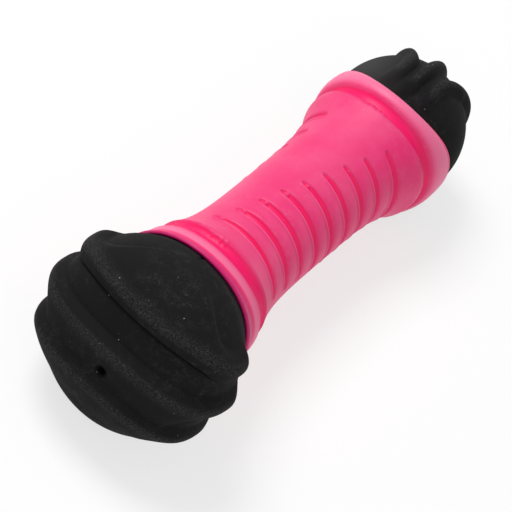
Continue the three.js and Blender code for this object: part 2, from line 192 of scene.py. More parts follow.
class RollBulbSizes(bpy.types.PropertyGroup):
    """Sizes of the bulb with the thick rolls across it."""

    place: length("Place", 0.0695, "Distance from the toy's middle to the widest place of the bulb")
    radius: length("Radius", 0.0284, "Radius of the bulb at its widest place")
    nose: length("Nose", 0.019, "Reach of the dome ahead of the widest place")
    neck: length("Neck", 0.0168, "Radius of the bulb's back on the cup floor")
    fullness: share_of("Fullness", 0.7, "1 for a round dome, and less for a squarer one")
    lean: angle("Lean", 16.7, "How far the nose is turned up")
    swing: angle("Swing", 0.8, "How far the nose is turned to the side")
    lean_length: length("Lean length", 0.013, "Length of the back over which the lean begins")
    wall: length("Wall", 0.007, "Thickness of the soft wall")
    vent: length("Vent radius", 0.0013, "Radius of the vent hole in the nose")
    parting: length("Parting line", 0.0005, "Depth of the mould line along the bulb's back")
    rib_pitch: length("Roll pitch", 0.0145, "Distance between rolls")
    rib_thickness: length("Roll thickness", 0.006, "Thickness of a roll's round bar at its ends")
    rib_height: length("Roll height", 0.0028, "Height of a roll over the dome")
    rib_melt: length("Roll melt", 0.0004, "How softly a roll runs out into the dome")
    rib_reach: angle("Roll reach", 106, "Angle from the nose to a roll's end")
    rib_turn: angle("Roll turn", 1.3, "Turn of the rolls about the axis")
    rib_middles: one_each("Roll middles", (-0.83, 0.05, 1.08), "Place of a roll over the nose, in pitches")
    rib_ends: one_each("Roll ends", (-0.84, 0.06, 0.86), "Place of a roll at its ends, in pitches")
    step_slope: share_of("Step slope", 0.62, "Slope of a roll's two sides over the nose")
    step_skews: one_each("Step skews", (-0.45, -0.6, 0.6), "How much steeper a roll is on its lower side")
    step_crest: length("Step crest", 0.0008, "How round a roll's crest is over the nose")
    crease: length("Crease", 0.0004, "Depth of the crease along the foot of a roll's steeper side")
    creases: one_each("Creases", (0, 0.45, 1), "How far a roll has such a crease")


class FinBulbSizes(bpy.types.PropertyGroup):
    """Sizes of the bulb with the slim fins over its nose."""

    place: length("Place", 0.0615, "Distance from the toy's middle to the widest place of the bulb")
    radius: length("Radius", 0.0217, "Radius of the bulb at its widest place")
    nose: length("Nose", 0.0223, "Reach of the dome ahead of the widest place")
    neck: length("Neck", 0.0158, "Radius of the bulb's back on the cup floor")
    fullness: share_of("Fullness", 1.0, "1 for a round dome, and less for a squarer one")
    lean: angle("Lean", 0, "How far the nose is turned up")
    swing: angle("Swing", 0, "How far the nose is turned to the side")
    lean_length: length("Lean length", 0.009, "Length of the back over which the lean begins")
    wall: length("Wall", 0.007, "Thickness of the soft wall")
    vent: length("Vent radius", 0.0, "Radius of the vent hole in the nose, 0 for none")
    parting: length("Parting line", 0.0, "Depth of the mould line along the bulb's back, 0 for none")
    rib_pitch: length("Fin pitch", 0.0143, "Distance between fins")
    rib_thickness: length("Fin thickness", 0.0026, "Thickness of a fin's round bar")
    rib_height: length("Fin height", 0.0026, "Height of a fin over the dome")
    rib_melt: length("Fin melt", 0.0006, "How softly a fin runs out into the dome")
    rib_reach: angle("Fin reach", 113, "Angle from the nose to a fin's end")
    rib_turn: angle("Fin turn", 87, "Turn of the fins about the axis")
    rib_middles: one_each("Fin middles", (-0.86, 0, 0.86), "Place of a fin over the nose, in pitches")
    rib_ends: one_each("Fin ends", (-0.37, 0, 0.42), "Place of a fin at its ends, in pitches")


class Finishes(bpy.types.PropertyGroup):
    """Colours of the rubbers and plastics, with the highlights and shade painted on the rubbers."""

    pink: colour("Pink", (0.80, 0.024, 0.165), "Pink rubber on the open faces")
    # Painted highlight on the crests, beads, rib crowns and lip crests; also the tone of the real scuffs and
    # of random clouding
    pink_highlight_and_scuff: colour("Pale pink", (0.88, 0.20, 0.37), "Scuffed pink rubber on the crests")
    # Painted shade: deep, saturated pink in the grooves, the sunken rings and on inner faces
    pink_groove_shade: colour("Deep pink", (0.86, 0.0, 0.13), "Pink rubber in the grooves")
    # Painted shade on the inner face and rim of a lip
    pink_painted_shade: colour("Shaded pink", (0.60, 0.006, 0.14), "Pink rubber on the inner face of a lip")
    black: colour("Black", (0.0092, 0.0092, 0.0099), "Black rubber in the valleys")
    # Painted shade in the creases, the vent, along the parting line and on inner faces
    black_painted_shade: colour("Deep black", (0.003, 0.003, 0.0033), "Black rubber in the creases and the vent")
    # Grey of real wear and scuffs, also used for painted highlights on the crests and the painted sheen on
    # the fin bulb
    black_wear_and_sheen: colour("Worn black", (0.056, 0.055, 0.057), "Rubbed black rubber on the crests")
    dust: colour("Dust", (0.42, 0.41, 0.41), "Dust specks on the rubber")
    plastic: colour("White plastic", (0.79, 0.77, 0.72), "Squeaker body and cap")
    film: colour("Reed film", (0.47, 0.54, 0.60), "Squeaker reed")


class StageSettings(bpy.types.PropertyGroup):
    """Camera, lamps and floor."""

    camera_place: spot("Camera place", (-0.588643, -0.152988, 0.650399), "Where the camera stands")
    camera_turn: FloatVectorProperty(
        name="Camera turn", description="Turn of the camera about X, Y and Z", subtype="EULER",
        default=[math.radians(turn) for turn in (39.5584, -19.8283, -53.0314)],
    )
    lens: FloatProperty(name="Lens", description="Focal length in millimetres", default=210.94, min=1)
    key_place: spot("Key place", (0.05, 0.48, 0.86), "Where the large lamp stands")
    key_size: length("Key size", 0.4, "Side of the large lamp")
    key_power: power("Key power", 7.0, "Power of the large lamp")
    fill_place: spot("Fill place", (-0.45, -0.45, 0.35), "Where the weak lamp stands")
    fill_size: length("Fill size", 0.5, "Side of the weak lamp")
    fill_power: power("Fill power", 0.8, "Power of the weak lamp")
    sky: share_of("Sky light", 0.4, "Strength of the even light from all round")
    floor_reach: length("Floor reach", 3.0, "Distance from the middle of the floor to its sides")
    floor_white: share_of("Floor white", 0.7, "How far the camera sees the floor as plain white")


def lerp(low, high, share):
    """Number at a share of the way from low to high."""
    return low + (high - low) * share


def smoothstep(value, low, high):
    """Soft step from 0 at low to 1 at high."""
    share = min(max((value - low) / (high - low), 0), 1)
    return share * share * (3 - 2 * share)


def signed_power(value, exponent):
    """Power of a number's size, with the number's sign."""
    return math.copysign(abs(value) ** exponent, value)


def spread(count, low=0.0, high=1.0):
    """Evenly spread numbers from low to high."""
    return [lerp(low, high, number / (count - 1)) for number in range(count)]


def round_about(x, radius, about):
    """Point at a radius from the toy's axis; the angle runs from +Z towards -Y."""
    return Vector((x, -radius * math.sin(about), radius * math.cos(about)))


def resting(point, placing):
    """Point of the toy's own frame put where the toy lies, pressed flat where it meets the floor."""
    placed = Matrix.Rotation(placing.rest_lean, 3, "Y") @ point
    placed += Vector((placing.axis_shift, 0, placing.axis_height))
    placed.z = max(placed.z, 0)
    return placed


def ringed_piece(name, rows, sides, placing):
    """Spins a tube of one ring for each row, then puts each vertex where its row says.

    A row is a function of the angle that gives a point in the toy's own frame and the relief there,
    which the materials read to paint highlights and shade: 1 on a crest, 0 on a plain face and -1 in a
    groove.
    """
    shape = bmesh.new()
    line = [shape.verts.new((number * RING_STEP, 0, RING_STEP)) for number in range(len(rows))]
    edges = [shape.edges.new(pair) for pair in zip(line, line[1:])]
    bmesh.ops.spin(
        shape, geom=line + edges, cent=(0, 0, 0), axis=(1, 0, 0), angle=2 * math.pi, steps=sides,
        use_merge=True,
    )
    relief = shape.verts.layers.float.new("relief")
    for vertex in shape.verts:
        row = rows[round(vertex.co.x / RING_STEP)]
        point, height = row(math.atan2(-vertex.co.y, vertex.co.z))
        vertex.co = resting(point, placing)
        vertex[relief] = height
    bmesh.ops.remove_doubles(shape, verts=shape.verts, dist=MERGE)
    bmesh.ops.recalc_face_normals(shape, faces=shape.faces)
    for face in shape.faces:
        face.smooth = True
    mesh = bpy.data.meshes.new(name)
    shape.to_mesh(mesh)
    shape.free()
    piece = bpy.data.objects.new(name, mesh)
    bpy.context.collection.objects.link(piece)
    return piece


def back_radius(bulb, placing, distance):
    """Radius of a bulb's back, from its widest place down to the neck on the cup floor."""
    base = placing.cup_floor + FIT
    share = min((bulb.place - distance) / (bulb.place - base), 1)
    return lerp(bulb.radius, bulb.neck, share * share)


def body_radius(sleeve, x):
    """Radius of the sleeve's waisted body, which flares towards its ends."""
    share = min(abs(x) / sleeve.body_end, 1) ** sleeve.flare_power
    return lerp(sleeve.waist_radius, sleeve.end_radius, share)


def channel(across):
    """Depth of a moulded channel, so many half widths from its middle: 1 there, and 0 from its edges on."""
    return max(1 - abs(across) ** CHANNEL_FLOOR, 0) ** CHANNEL_WALL


def plain_row(side, distance, radius, relief=0.0):
    """A round ring of the surface."""
    return lambda about: (round_about(side * distance, radius, about), relief)


def bead_rows(side, placing, radius, air):
    """Rings of the bead on a shank, or of its groove in the bore, from the collar inwards."""
    half = placing.bead_width / 2
    return [
        plain_row(side, placing.bead_x + half + air, radius),
        plain_row(side, placing.bead_x + half / 2 + air, radius + placing.bead_height),
        plain_row(side, placing.bead_x - half / 2 - air, radius + placing.bead_height),
        plain_row(side, placing.bead_x - half - air, radius),
    ]


def ring_place(sleeve, collar, about):
    """Distance from the toy's middle to a sunken ring, which sways along the axis."""
    return sleeve.ring_x + collar.ring_sway * math.cos(2 * about)


def flash_reach(sleeve, about):
    """How far the flash on its edge stands into a sunken ring."""
    off = math.degrees(about - sleeve.flash_angle)
    nicks = [share * math.exp(-((off - place) / FLASH_SPAN) ** 2) for place, share in FLASH]
    return sleeve.flash_width * max(nicks)


def collar_rows(side, sleeve, collar, bulb, placing):
    """Rings of one collar, outside from the sunken ring to the rim, and inside from the rim to the bead."""
    ring_rows, lip_rows, edge_rows, cup_rows = 15, 30, 5, 8
    # Shares of the way from the sunken ring to the rim
    crest, turn_in_from, shade_width = 0.4, 0.8, 0.24
    # Powers that round the lip up to its crest and down to its rim
    rise_power, fall_power = 0.7, 2.2
    # How far the lip has risen where it leaves the ring, and how far the flash bends the ring's own rows
    lip_step, flash_bend = 0.2, 0.6
    edge_thickness = collar.edge - LIP_TURN_IN

    def rim_x(about):
        return sleeve.rim_x + collar.rim_sway * math.cos(2 * about)

    def cup(distance):
        return back_radius(bulb, placing, distance) + FIT

    def lip_start(distance):
        return lerp(body_radius(sleeve, distance), collar.lip, lip_step)

    def ring_row(across):
        def row(about):
            distance = ring_place(sleeve, collar, about) + across * collar.ring_width / 2
            distance += flash_reach(sleeve, about) * smoothstep(-across, 0, flash_bend)
            level = lerp(body_radius(sleeve, distance), lip_start(distance), smoothstep(across, 0, 1))
            dip = channel(across)
            # The ring's depth is negative relief, painted in shade
            return round_about(side * distance, level - sleeve.ring_depth * dip, about), -dip
        return row

    def lip_row(along):
        def row(about):
            start = ring_place(sleeve, collar, about) + collar.ring_width / 2
            distance = lerp(start, rim_x(about), along)
            if along < crest:
                rise = math.sin(along / crest * math.pi / 2) ** rise_power
                # The lip's rise is its relief, so its crest is painted pale as a highlight
                return round_about(side * distance, lerp(lip_start(distance), collar.lip, rise), about), rise
            fall = ((along - crest) / (1 - crest)) ** fall_power
            turn_in = LIP_TURN_IN * max((along - turn_in_from) / (1 - turn_in_from), 0) ** 2
            edge = cup(rim_x(about)) + collar.edge
            # Past the lip's shade share its relief falls to SHADED, painting its inner face in shade
            relief = lerp(1, SHADED, smoothstep(along, collar.shade, collar.shade + shade_width))
            return round_about(side * distance, lerp(collar.lip, edge, fall) - turn_in, about), relief
        return row

    def edge_row(turn):
        def row(about):
            distance = rim_x(about) + edge_thickness / 2 * math.sin(turn)
            radius = cup(rim_x(about)) + edge_thickness * (1 + math.cos(turn)) / 2
            # The rim's edge is painted in shade
            return round_about(side * distance, radius, about), SHADED
        return row

    def cup_row(along):
        def row(about):
            distance = lerp(rim_x(about), placing.cup_floor, along)
            return round_about(side * distance, cup(distance), about), INSIDE
        return row

    outside = [ring_row(across) for across in spread(ring_rows, -1, 1)]
    outside += [lip_row(along) for along in spread(lip_rows)[1:]]
    outside += [edge_row(turn) for turn in spread(edge_rows, 0, math.pi)[1:]]
    inside = [cup_row(along) for along in spread(cup_rows)[1:]]
    inside.append(plain_row(side, placing.cup_floor, placing.bore_radius, INSIDE))
    inside += bead_rows(side, placing, placing.bore_radius, FIT)
    return outside, inside


def groove_away(sleeve, groove, about):
    """Angle from a grip groove's middle, in the nearer of the two groups."""
    middle = sleeve.groove_middle + groove * sleeve.groove_turn
    return (about - middle + math.pi / 2) % math.pi - math.pi / 2


def groove_opening(sleeve, groove, about):
    """How far a grip groove is open at an angle, from 0 past its tips to 1."""
    away = groove_away(sleeve, groove, about)
    return max(1 - (away / sleeve.groove_half_arc) ** 2, 0) ** TIP_POWER


def groove_bridge(sleeve, groove, about):
    """How far a bridge of rubber near one tip fills a grip groove; it is higher towards the roll end."""
    bridge_at, bridge_width = math.radians(7.5), math.radians(1.8)
    high, low, middle_grooves = 0.75, 0.1, 1.5
    from_tip = groove_away(sleeve, groove, about) + sleeve.groove_half_arc
    height = lerp(high, low, smoothstep(groove, -middle_grooves, middle_grooves))
    return height * math.exp(-((from_tip - bridge_at) / bridge_width) ** 2)


def groove_edge(sleeve, groove, across, about):
    """Place along the axis at so many half widths from a grip groove's middle line."""
    width = lerp(sleeve.groove_tip, sleeve.groove_width, groove_opening(sleeve, groove, about))
    return groove * sleeve.groove_pitch + across * width / 2


def grip_rows(sleeve):
    """Rings of the waisted body: close together over each grip groove, with a few on the rib between."""
    rib_rows, crown_relief = 6, 0.25

    def groove_row(groove, across):
        wall = channel(across)
        bead = max(1 - abs(across - BEAD_ACROSS) / BEAD_SPREAD, 0)

        def row(about):
            x = groove_edge(sleeve, groove, across, about)
            opening = groove_opening(sleeve, groove, about)
            cut = wall * opening * (1 - groove_bridge(sleeve, groove, about))
            height = sleeve.groove_bead * bead * opening - sleeve.groove_depth * cut
            # The bead's relief paints it pale as a highlight, and the groove's cut paints it deep in shade
            return round_about(x, body_radius(sleeve, x) + height, about), bead * opening - cut
        return row

    def rib_row(groove, along):
        def row(about):
            start = groove_edge(sleeve, groove, GROOVE_ACROSS[-1], about)
            end = groove_edge(sleeve, groove + 1, GROOVE_ACROSS[0], about)
            x = lerp(start, end, along)
            beside = groove_opening(sleeve, groove, about) * groove_opening(sleeve, groove + 1, about)
            crown = beside * math.sin(along * math.pi)
            radius = body_radius(sleeve, x) + sleeve.rib_crown * crown
            # The crown's relief paints the rib pale as a highlight
            return round_about(x, radius, about), crown_relief * crown
        return row

    rows = []
    last = (sleeve.groove_count - 1) / 2
    for number in range(sleeve.groove_count):
        groove = number - last
        rows += [groove_row(groove, across) for across in GROOVE_ACROSS]
        if groove < last:
            rows += [rib_row(groove, along) for along in spread(rib_rows)[1:-1]]
    return rows


def shoulder_rows(side, sleeve, collar):
    """Rings of the plain body from the outermost grip groove out to a sunken ring."""
    row_count = 8
    groove = side * (sleeve.groove_count - 1) / 2
    across = GROOVE_ACROSS[-1] if side > 0 else GROOVE_ACROSS[0]

    def shoulder_row(along):
        def row(about):
            start = groove_edge(sleeve, groove, across, about)
            end = ring_place(sleeve, collar, about) - collar.ring_width / 2 + flash_reach(sleeve, about)
            x = lerp(start, side * end, along)
            return round_about(x, body_radius(sleeve, x), about), 0.0
        return row

    return [shoulder_row(along) for along in spread(row_count)[1:-1]]


def bulb_normal(bulb, core):
    """Direction straight out of a bulb's plain core."""
    exponent = 2 / bulb.fullness - 1
    girth = max(math.hypot(core.y, core.z), MERGE)
    steep = (girth / bulb.radius) ** exponent / bulb.radius
    ahead = (max(core.x, 0) / bulb.nose) ** exponent / bulb.nose
    return Vector((ahead, steep * core.y / girth, steep * core.z / girth)).normalized()


def round_bar(bulb, off):
    """Height of a roll's or fin's round bar, so far from its middle line, and below 0 past its foot."""
    crest = bulb.rib_height - bulb.rib_melt ** 2 / (4 * bulb.rib_height)
    return crest - off ** 2 / bulb.rib_thickness


def fin_profile(bulb, number, off, turn):
    """Height of a fin, which is a round bar from end to end, and the depth of its crease: none."""
    return round_bar(bulb, off), 0.0


def roll_profile(bulb, number, off, turn):
    """Height of a roll, a skewed step over the nose and a round bar at its ends, and its crease's depth."""
    stepped = 1 - smoothstep(turn, STEP_END, BAR_START)
    skew = bulb.step_skews[number] if off < 0 else -bulb.step_skews[number]
    fall = math.hypot(off, bulb.step_crest) - bulb.step_crest
    step = round_bar(bulb, 0) - bulb.step_slope * (1 + skew) * fall
    height = lerp(round_bar(bulb, off), step, stepped)
    if skew <= 0 or not bulb.crease:
        return height, 0.0
    return height, bulb.crease * bulb.creases[number] * stepped * math.exp(-(height / bulb.crease) ** 2)


def ribs_over(bulb, profile, turn, up):
    """Height of the rolls or fins over the plain core, and the depth of the creases beside them.

    The place is given as an angle from the nose and a distance across the rolls or fins.
    """
    drawn = math.sin(turn) ** DRAW_POWER
    fade = 1 - smoothstep(turn, bulb.rib_reach - RUN_OUT, bulb.rib_reach)
    height, crease = 0.0, 0.0
    for number, (middle, end) in enumerate(zip(bulb.rib_middles, bulb.rib_ends)):
        off = up - bulb.rib_pitch * lerp(middle, end, drawn)
        proud, creased = profile(bulb, number, off, turn)
        height = max(height, (proud + math.hypot(proud, bulb.rib_melt)) / 2)
        crease = max(crease, creased)
    return height * math.sqrt(fade), crease


def bulb_point(bulb, profile, side, core):
    """Point of a bulb's skin over a point of its plain core, with the rolls or fins and the lean of the nose.

    The core point is given as (ahead of the widest place, across, up). Returns the point and its relief.
    """
    ahead, across, up = Matrix.Rotation(-bulb.rib_turn, 3, "X") @ core
    exponent = 1 / bulb.fullness
    turn = math.atan2(abs(across / bulb.radius) ** exponent, signed_power(ahead / bulb.nose, exponent))
    height, crease = ribs_over(bulb, profile, turn, up)
    skin = core + bulb_normal(bulb, core) * (height - crease)
    point = Vector((side * (bulb.place + skin.x), skin.y, skin.z))
    pivot = Vector((side * bulb.place, 0, 0))
    bend = smoothstep(abs(point.x), bulb.place - bulb.lean_length, bulb.place)
    aside = Matrix.Rotation(side * bulb.swing * bend, 3, "Z")
    turned = aside @ Matrix.Rotation(-side * bulb.lean * bend, 3, "Y")
    # Crests raise the relief, painting them as highlights, and creases lower it, painting them in shade
    relief = (height - CREASE_RELIEF * crease) / bulb.rib_height
    return turned @ (point - pivot) + pivot, relief


def even_turn(bulb, share):
    """Angle from the nose at a share of the way to the widest place, evenly spread over the dome."""
    ahead, behind = share ** (1 / bulb.fullness), (1 - share) ** (1 / bulb.fullness)
    return math.pi / 2 * ahead / (ahead + behind)


def axis_on_dome(bulb):
    """Where the toy's axis leaves the dome, across and up from the turned nose, as shares of the dome."""
    below, aside = math.tan(bulb.lean), math.tan(bulb.swing) / math.cos(bulb.lean)
    tilt = max(math.hypot(below, aside), MERGE)
    away = math.atan((bulb.nose / bulb.radius * tilt) ** (1 / bulb.fullness)) / (math.pi / 2)
    away = (away / (1 - away)) ** bulb.fullness
    share = away / (1 + away) / tilt
    return -share * aside, -share * below


def bulb_rows(side, bulb, profile, placing):
    """Rings of a bulb: from the nose over the dome and the back, then the shank and the hollow inside."""
    dome_rows, back_rows, hollow_rows = 128, 26, 12
    parting_width = 0.0007
    base = placing.cup_floor + FIT
    shank = placing.bore_radius - FIT
    shank_end = base - placing.shank_length
    vent_share = bulb.vent / bulb.radius
    axis_across, axis_up = axis_on_dome(bulb)

    def dome_core(share, about):
        across = axis_across * (1 - share * share) - share * math.sin(about)
        up = axis_up * (1 - share * share) + share * math.cos(about)
        reach = math.hypot(across, up)
        turn = even_turn(bulb, min(reach, 1))
        girth = bulb.radius * math.sin(turn) ** bulb.fullness / max(reach, MERGE)
        ahead = bulb.nose * max(math.cos(turn), 0) ** bulb.fullness
        return Vector((ahead, across * girth, up * girth))

    def dome_row(share):
        return lambda about: bulb_point(bulb, profile, side, dome_core(share, about))

    def vent_row(deep, radius):
        def row(about):
            point = bulb_point(bulb, profile, side, dome_core(VENT_LEVEL * vent_share, about))[0]
            # The vent's relief paints it in shade
            return round_about(point.x - side * deep, radius, about), INSIDE
        return row

    def back_row(distance):
        radius = back_radius(bulb, placing, distance)
        parting = bulb.parting * smoothstep(bulb.place - distance, 0, bulb.lean_length)

        def row(about):
            line = max(1 - abs(about) * radius / parting_width, 0)
            core = round_about(distance - bulb.place, radius - parting * line, about)
            point, relief = bulb_point(bulb, profile, side, core)
            # The parting line's relief paints it in shade
            return point, relief - line * bool(parting)
        return row

    def hollow_row(turn):
        girth = (bulb.radius - bulb.wall) * math.sin(turn) ** bulb.fullness
        ahead = (bulb.nose - bulb.wall) * max(math.cos(turn), 0) ** bulb.fullness
        return plain_row(side, bulb.place + ahead, max(girth, bulb.vent), INSIDE)

    rows = []
    if bulb.vent:
        rows += [vent_row(bulb.wall, bulb.vent), vent_row(bulb.vent, bulb.vent)]
        rows += [vent_row(bulb.vent * deep, bulb.vent * wide) for deep, wide in VENT_EDGE]
    rows += [dome_row(share) for share in spread(dome_rows, VENT_CLEAR * vent_share, 1)]
    rows += [back_row(distance) for distance in spread(back_rows, bulb.place, base)[1:]]
    rows += [plain_row(side, base, shank, INSIDE), *bead_rows(side, placing, shank, 0)]
    rows += [plain_row(side, shank_end, radius, INSIDE) for radius in (shank, placing.shank_bore)]
    rows.append(plain_row(side, base + bulb.wall / 2, placing.shank_bore, INSIDE))
    rows.append(plain_row(side, base + bulb.wall, bulb.neck - bulb.wall, INSIDE))
    rows += [hollow_row(even_turn(bulb, share)) for share in spread(hollow_rows, 1, 0)]
    if bulb.vent:
        rows.append(rows[0])
    return rows


def add_node(tree, kind, **settings):
    """Adds a node with settings of its own."""
    node = tree.nodes.new(kind)
    for name, value in settings.items():
        setattr(node, name, value)
    return node


def put(value, socket):
    """Links a socket to another, or sets a plain value on it."""
    if isinstance(value, bpy.types.NodeSocket):
        socket.id_data.links.new(value, socket)
    else:
        socket.default_value = value


def fill(node, **values):
    """Fills input sockets by name, with _ for a space."""
    for name, value in values.items():
        put(value, node.inputs[name.replace("_", " ")])
    return node


def noise(tree, place, scale, detail=4.0, roughness=0.55, distortion=0.0):
    """Cloudy noise from 0 to 1."""
    node = fill(add_node(tree, "ShaderNodeTexNoise"), Vector=place, Scale=scale, Detail=detail,
                Roughness=roughness, Distortion=distortion)
    return node.outputs["Fac"]


def ramp(tree, value, low, high):
    """Stretches a value so that low becomes 0 and high becomes 1."""
    node = add_node(tree, "ShaderNodeMapRange", interpolation_type="SMOOTHSTEP")
    fill(node, Value=value, From_Min=low, From_Max=high)
    return node.outputs["Result"]


def blend(tree, share, first, second):
    """Mixes two colours; each may be a socket or a plain colour."""
    node = add_node(tree, "ShaderNodeMix", data_type="RGBA")
    share_in, first_in, second_in = node.inputs[0], node.inputs[6], node.inputs[7]
    put(share, share_in)
    for value, socket in ((first, first_in), (second, second_in)):
        put(value if isinstance(value, bpy.types.NodeSocket) else (*value, 1), socket)
    return node.outputs[2]


def maths(tree, operation, first, second):
    """Result of a sum with two values, each a socket or a plain number."""
    node = add_node(tree, "ShaderNodeMath", operation=operation)
    put(first, node.inputs[0])
    put(second, node.inputs[1])
    return node.outputs[0]


def times(tree, first, second):
    """Product of two values."""
    return maths(tree, "MULTIPLY", first, second)


def raised(tree, mask, low, most):
    """A value that a mask raises above its low, by so much at most."""
    return maths(tree, "ADD", times(tree, mask, most), low)


def bump(tree, height, strength, depth):
    """Normal of a surface with fine bumps."""
    node = fill(add_node(tree, "ShaderNodeBump"), Height=height, Strength=strength, Distance=depth)
    return node.outputs["Normal"]


def rubber_wear_group():
    """Node group for worn rubber: scuffs, dust specks and a fine grain, as masks over the surface."""
    group = bpy.data.node_groups.new("rubber_wear", "ShaderNodeTree")
    group.interface.new_socket("Vector", in_out="INPUT", socket_type="NodeSocketVector")
    for name in ("Scuffs", "Dust", "Grain"):
        group.interface.new_socket(name, in_out="OUTPUT", socket_type="NodeSocketFloat")
    place = add_node(group, "NodeGroupInput").outputs["Vector"]
    grain = noise(group, place, scale=2200, detail=3)
    smear = noise(group, place, scale=300, detail=8, roughness=0.75, distortion=0.7)
    patch = noise(group, place, scale=42, detail=3)
    scuffs = times(group, ramp(group, smear, 0.45, 0.72), ramp(group, patch, 0.34, 0.58))
    scuffs = times(group, scuffs, ramp(group, grain, 0.36, 0.66))
    cells = fill(add_node(group, "ShaderNodeTexVoronoi"), Vector=place, Scale=520.0)
    specks = ramp(group, cells.outputs["Distance"], 0.11, 0.06)
    few = ramp(group, noise(group, place, scale=330, detail=2), 0.60, 0.66)
    out = add_node(group, "NodeGroupOutput")
    fill(out, Scuffs=scuffs, Dust=times(group, specks, few), Grain=grain)
    return group


def wear(tree, place):
    """Places the rubber wear group in a material and returns its outputs."""
    group = bpy.data.node_groups.get("rubber_wear") or rubber_wear_group()
    node = add_node(tree, "ShaderNodeGroup", node_tree=group)
    return fill(node, Vector=place).outputs


def new_material(name):
    """A material with its object coordinates and its principled shader."""
    material = bpy.data.materials.new(name)
    material.use_nodes = True
    tree = material.node_tree
    place = add_node(tree, "ShaderNodeTexCoord").outputs["Object"]
    return material, tree, place, tree.nodes["Principled BSDF"]


def relief_of(tree):
    """Relief that the piece's vertices carry."""
    return add_node(tree, "ShaderNodeAttribute", attribute_name="relief").outputs["Fac"]


def painted_sheen_patch(tree, place):
    """Mask of the painted sheen, a soft grey patch on the fin bulb."""
    away = fill(add_node(tree, "ShaderNodeVectorMath", operation="DISTANCE"), Vector=place)
    put(SHEEN_PLACE, away.inputs[1])
    return ramp(tree, away.outputs["Value"], SHEEN_REACH, 0.0)


def pink_rubber(finishes):
    """Satin pink rubber: scuffed, with painted highlights pale on the crests and painted shade deep in the
    grooves and inside the lips.
    """
    material, tree, place, shader = new_material("pink_rubber")
    worn = wear(tree, place)
    relief = relief_of(tree)
    cloud = ramp(tree, noise(tree, place, scale=60), 0.35, 0.75)
    tone = blend(tree, times(tree, cloud, 0.2), finishes.pink, finishes.pink_highlight_and_scuff)
    # Painted highlight: crests, beads, rib crowns and lip crests turn pale with their relief
    tone = blend(tree, times(tree, ramp(tree, relief, 0.1, 1.0), 0.7), tone, finishes.pink_highlight_and_scuff)
    tone = blend(tree, times(tree, worn["Scuffs"], 0.4), tone, finishes.pink_highlight_and_scuff)
    # Painted shade: the grooves, sunken rings and inner faces turn deep with negative relief
    tone = blend(tree, ramp(tree, relief, -0.05, -0.6), tone, finishes.pink_groove_shade)
    # Painted shade on the inner face and rim of a lip
    tone = blend(tree, ramp(tree, relief, -1.1, -1.8), tone, finishes.pink_painted_shade)
    tone = blend(tree, times(tree, worn["Dust"], 0.5), tone, finishes.dust)
    fill(shader, Base_Color=tone, Roughness=raised(tree, worn["Grain"], 0.40, 0.16),
         Specular_IOR_Level=0.35, Normal=bump(tree, worn["Grain"], strength=0.12, depth=0.0003))
    return material


def black_rubber(finishes):
    """Matt black rubber: grey from wear and painted highlights on the crests, a painted sheen beside the fin
    bulb's lip, painted shade deep in the creases and the vent, with scuffs and dust.
    """
    material, tree, place, shader = new_material("black_rubber")
    worn = wear(tree, place)
    relief = relief_of(tree)
    # Crests turn grey partly from real wear and partly as painted highlight
    crest_wear_and_highlight = times(tree, ramp(tree, relief, 0.72, 1.0), ramp(tree, worn["Grain"], 0.35, 0.75))
    tone = blend(tree, times(tree, crest_wear_and_highlight, 0.65), finishes.black, finishes.black_wear_and_sheen)
    tone = blend(tree, times(tree, worn["Scuffs"], 0.65), tone, finishes.black_wear_and_sheen)
    # Painted sheen: a lighter grey patch beside the fin bulb's lip
    tone = blend(tree, times(tree, painted_sheen_patch(tree, place), 0.8), tone, finishes.black_wear_and_sheen)
    # Painted shade in the creases, the vent, the parting line and on inner faces
    tone = blend(tree, ramp(tree, relief, -0.05, -0.7), tone, finishes.black_painted_shade)
    tone = blend(tree, times(tree, worn["Dust"], 0.6), tone, finishes.dust)
    fill(shader, Base_Color=tone, Roughness=raised(tree, worn["Grain"], 0.72, 0.2),
         Specular_IOR_Level=0.08, Normal=bump(tree, worn["Grain"], strength=0.25, depth=0.0004))
    return material


def squeaker_plastic(name, tone, roughness):
    """Moulded plastic of the squeaker, a little uneven in tone and gloss."""
    material, tree, place, shader = new_material(name)
    cloud = noise(tree, place, scale=180)
    shade = blend(tree, times(tree, cloud, 0.3), tone, [part * 0.7 for part in tone])
    fine = noise(tree, place, scale=1800)
    fill(shader, Base_Color=shade, Roughness=raised(tree, cloud, roughness, 0.2),
         Normal=bump(tree, fine, strength=0.1, depth=0.0002))
    return material


def dress(piece, node, material):
    """Gives a piece its finish and puts it in place of its solid."""
    piece.data.materials.append(material)
    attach(piece, "root")
    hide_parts(node)


class CHEWTOY_OT_grip_sleeve(bpy.types.Operator):
    """Make the waisted grip sleeve with its grooves and collars"""

    bl_idname = "chewtoy.grip_sleeve"
    bl_label = "Grip Sleeve"

    def execute(self, context):
        toy = context.scene
        placing, sleeve = toy.chewtoy_placing, toy.chewtoy_sleeve
        roll_collar, fin_collar = toy.chewtoy_roll_collar, toy.chewtoy_fin_collar
        roll_out, roll_in = collar_rows(-1, sleeve, roll_collar, toy.chewtoy_roll_bulb, placing)
        fin_out, fin_in = collar_rows(1, sleeve, fin_collar, toy.chewtoy_fin_bulb, placing)
        rows = [*reversed(roll_out), *reversed(shoulder_rows(-1, sleeve, roll_collar)), *grip_rows(sleeve)]
        rows += [*shoulder_rows(1, sleeve, fin_collar), *fin_out, *fin_in, *reversed(roll_in)]
        rows.append(rows[0])
        piece = ringed_piece("grip_sleeve_skin", rows, SLEEVE_SIDES, placing)
        dress(piece, "grip_sleeve", pink_rubber(toy.chewtoy_finishes))
        return {"FINISHED"}


